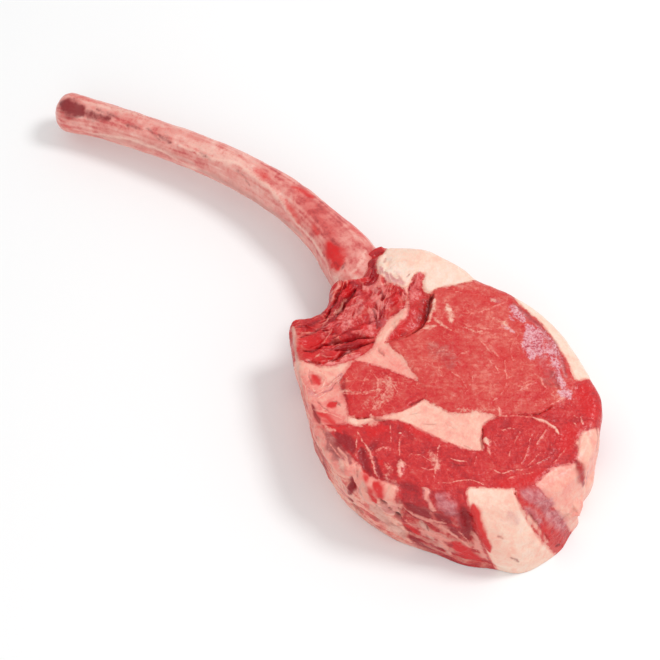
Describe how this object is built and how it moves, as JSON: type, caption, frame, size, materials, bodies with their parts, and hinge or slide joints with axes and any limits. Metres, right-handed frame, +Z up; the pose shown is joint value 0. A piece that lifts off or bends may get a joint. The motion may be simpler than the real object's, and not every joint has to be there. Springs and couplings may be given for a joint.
{
  "type": "raw tomahawk steak",
  "caption": "Thick raw rib steak lying flat on its long bare curved rib bone, with marbled muscles, seams of fat and a layered side.",
  "frame": {"origin": "middle of the bounding box's underside, on the surface that the steak lies on", "axes": "+X from the bare tip of the rib bone to the far end of the meat, +Y towards the fat cap on the back of the rib, +Z up from the lower cut to the upper cut"},
  "size_m": [0.4348, 0.1593, 0.0495],
  "materials": {
    "lean_meat": "moist bright red lean with pale marbling",
    "torn_meat": "moist dark red torn rib meat",
    "side_meat": "dark purple red outer muscle under a thin silvery skin",
    "fat": "soft cream to pink fat with a slight gloss",
    "bone": "scraped bone, mottled pink, cream and red, slightly moist"
  },
  "bodies": {
    "root": {"rib_bone": "bone", "rib_meat": "torn_meat", "fat_cap": "fat", "inner_muscle": "torn_meat", "seam_fat": "fat", "eye_muscle": "lean_meat", "back_fat": "fat", "edge_fat": "fat", "small_muscle": "lean_meat", "kernel_fat": "fat", "round_muscle": "lean_meat", "cap_muscle": "lean_meat", "corner_fat": "fat", "band_muscle": "side_meat", "side_fat": "fat", "side_muscle": "side_meat", "flank_fat": "fat"}
  },
  "joints": []
}
